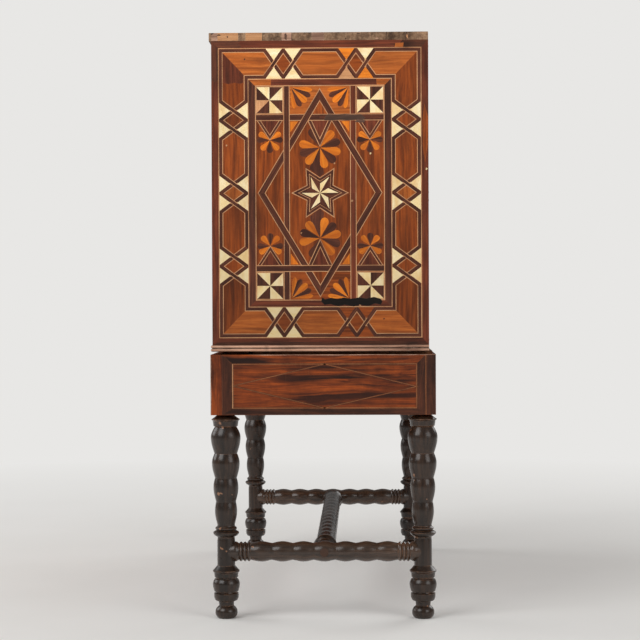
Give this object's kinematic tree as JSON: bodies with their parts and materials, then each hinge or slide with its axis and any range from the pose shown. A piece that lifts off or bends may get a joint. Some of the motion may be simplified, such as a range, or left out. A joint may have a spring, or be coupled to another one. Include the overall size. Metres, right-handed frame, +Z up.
{
  "type": "vargueno",
  "caption": "Fall-front inlaid writing cabinet with inner drawers and a cupboard, on a bobbin-turned stand with drawers and pull-out lopers.",
  "frame": {"origin": "on the floor, at the middle of the object's bounding box", "axes": "+X along the cabinet's length, -Y out of the front, +Z up"},
  "size_m": [1.076, 0.486, 1.176],
  "materials": {
    "case_veneer": "worn wax over inlaid veneer",
    "frieze_veneer": "waxed figured veneer",
    "moulding_wood": "worn bare edges",
    "bare_wood": "raw weathered",
    "inner_wood": "dull unpolished",
    "drawer_wood": "waxed",
    "turned_wood": "near-black stain, satin wax",
    "iron": "dark forged"
  },
  "bodies": {
    "root": {"back_boards": "bare_wood", "bottom_board": "inner_wood", "centre_bay_shelves": "inner_wood", "corner_blocks": "inner_wood", "drawer_runners": "inner_wood", "frieze_back": "frieze_veneer", "frieze_front_frame": "frieze_veneer", "frieze_stiles": "frieze_veneer", "hinge_fixed_leaves": "iron", "hinge_pins": "iron", "left_back_leg": "turned_wood", "left_bay_shelves": "inner_wood", "left_end_board": "case_veneer", "left_end_moulding": "moulding_wood", "left_end_stretcher": "turned_wood", "left_frieze_end": "frieze_veneer", "left_front_leg": "turned_wood", "left_upright": "inner_wood", "loper_channels": "inner_wood", "medial_stretcher": "turned_wood", "right_back_leg": "turned_wood", "right_bay_shelves": "inner_wood", "right_end_board": "case_veneer", "right_end_moulding": "moulding_wood", "right_end_stretcher": "turned_wood", "right_frieze_end": "frieze_veneer", "right_front_leg": "turned_wood", "right_upright": "inner_wood", "stand_deck": "inner_wood", "top_board": "bare_wood"},
    "fall": {"fall_front": "case_veneer", "fall_moulding": "moulding_wood", "hinge_moving_leaves": "iron", "lock_plate": "iron", "lock_case": "iron"},
    "bolt": {"lock_bolt": "iron"},
    "key": {"key": "iron"},
    "right_loper": {"right_loper": "frieze_veneer"},
    "left_loper": {"left_loper": "frieze_veneer"},
    "right_stand_drawer": {"right_stand_drawer": "frieze_veneer"},
    "left_stand_drawer": {"left_stand_drawer": "frieze_veneer"},
    "cupboard_door": {"cupboard_door": "drawer_wood", "cupboard_door_pivots": "iron"},
    "right_drawer_1": {"right_drawer_1": "drawer_wood"},
    "right_drawer_2": {"right_drawer_2": "drawer_wood"},
    "right_drawer_3": {"right_drawer_3": "drawer_wood"},
    "left_drawer_1": {"left_drawer_1": "drawer_wood"},
    "left_drawer_2": {"left_drawer_2": "drawer_wood"},
    "left_drawer_3": {"left_drawer_3": "drawer_wood"},
    "centre_drawer": {"centre_drawer": "drawer_wood"}
  },
  "joints": [
    {"name": "fall_hinge", "type": "hinge", "parent": "root", "child": "fall", "pos_m": [0, -0.2, 0.546], "axis": [1, 0, 0], "range_deg": [0, 90]},
    {"name": "key_turn", "type": "hinge", "parent": "fall", "child": "key", "pos_m": [0, -0.208, 1.118], "axis": [0, 1, 0], "range_deg": [0, 180]},
    {"name": "bolt_slide", "type": "slide", "parent": "fall", "child": "bolt", "axis": [0, 0, 1], "range_m": [0, 0.009]},
    {"name": "right_loper_slide", "type": "slide", "parent": "root", "child": "right_loper", "axis": [0, -1, 0], "range_m": [0, 0.22]},
    {"name": "left_loper_slide", "type": "slide", "parent": "root", "child": "left_loper", "axis": [0, -1, 0], "range_m": [0, 0.22]},
    {"name": "right_stand_drawer_slide", "type": "slide", "parent": "root", "child": "right_stand_drawer", "axis": [0, -1, 0], "range_m": [0, 0.24]},
    {"name": "left_stand_drawer_slide", "type": "slide", "parent": "root", "child": "left_stand_drawer", "axis": [0, -1, 0], "range_m": [0, 0.24]},
    {"name": "cupboard_door_hinge", "type": "hinge", "parent": "root", "child": "cupboard_door", "pos_m": [-0.15713, -0.167, 0.7692], "axis": [0, 0, -1], "range_deg": [0, 92]},
    {"name": "right_drawer_1_slide", "type": "slide", "parent": "root", "child": "right_drawer_1", "axis": [0, -1, 0], "range_m": [0, 0.25]},
    {"name": "right_drawer_2_slide", "type": "slide", "parent": "root", "child": "right_drawer_2", "axis": [0, -1, 0], "range_m": [0, 0.25]},
    {"name": "right_drawer_3_slide", "type": "slide", "parent": "root", "child": "right_drawer_3", "axis": [0, -1, 0], "range_m": [0, 0.25]},
    {"name": "left_drawer_1_slide", "type": "slide", "parent": "root", "child": "left_drawer_1", "axis": [0, -1, 0], "range_m": [0, 0.25]},
    {"name": "left_drawer_2_slide", "type": "slide", "parent": "root", "child": "left_drawer_2", "axis": [0, -1, 0], "range_m": [0, 0.25]},
    {"name": "left_drawer_3_slide", "type": "slide", "parent": "root", "child": "left_drawer_3", "axis": [0, -1, 0], "range_m": [0, 0.25]},
    {"name": "centre_drawer_slide", "type": "slide", "parent": "root", "child": "centre_drawer", "axis": [0, -1, 0], "range_m": [0, 0.25]}
  ],
  "couplings": [
    {"joint": "bolt_slide", "follows": "key_turn", "m_per_rad": 0.0025465},
    {"joint": "cupboard_door_hinge", "follows": "fall_hinge", "ratio": 0.7},
    {"joint": "right_drawer_1_slide", "follows": "fall_hinge", "m_per_rad": 0.034},
    {"joint": "right_drawer_2_slide", "follows": "fall_hinge", "m_per_rad": 0.15915},
    {"joint": "right_drawer_3_slide", "follows": "fall_hinge", "m_per_rad": 0.15915},
    {"joint": "left_drawer_1_slide", "follows": "fall_hinge", "m_per_rad": 0.034},
    {"joint": "left_drawer_2_slide", "follows": "fall_hinge", "m_per_rad": 0.15915},
    {"joint": "left_drawer_3_slide", "follows": "fall_hinge", "m_per_rad": 0.15915},
    {"joint": "centre_drawer_slide", "follows": "fall_hinge", "m_per_rad": 0.034}
  ]
}
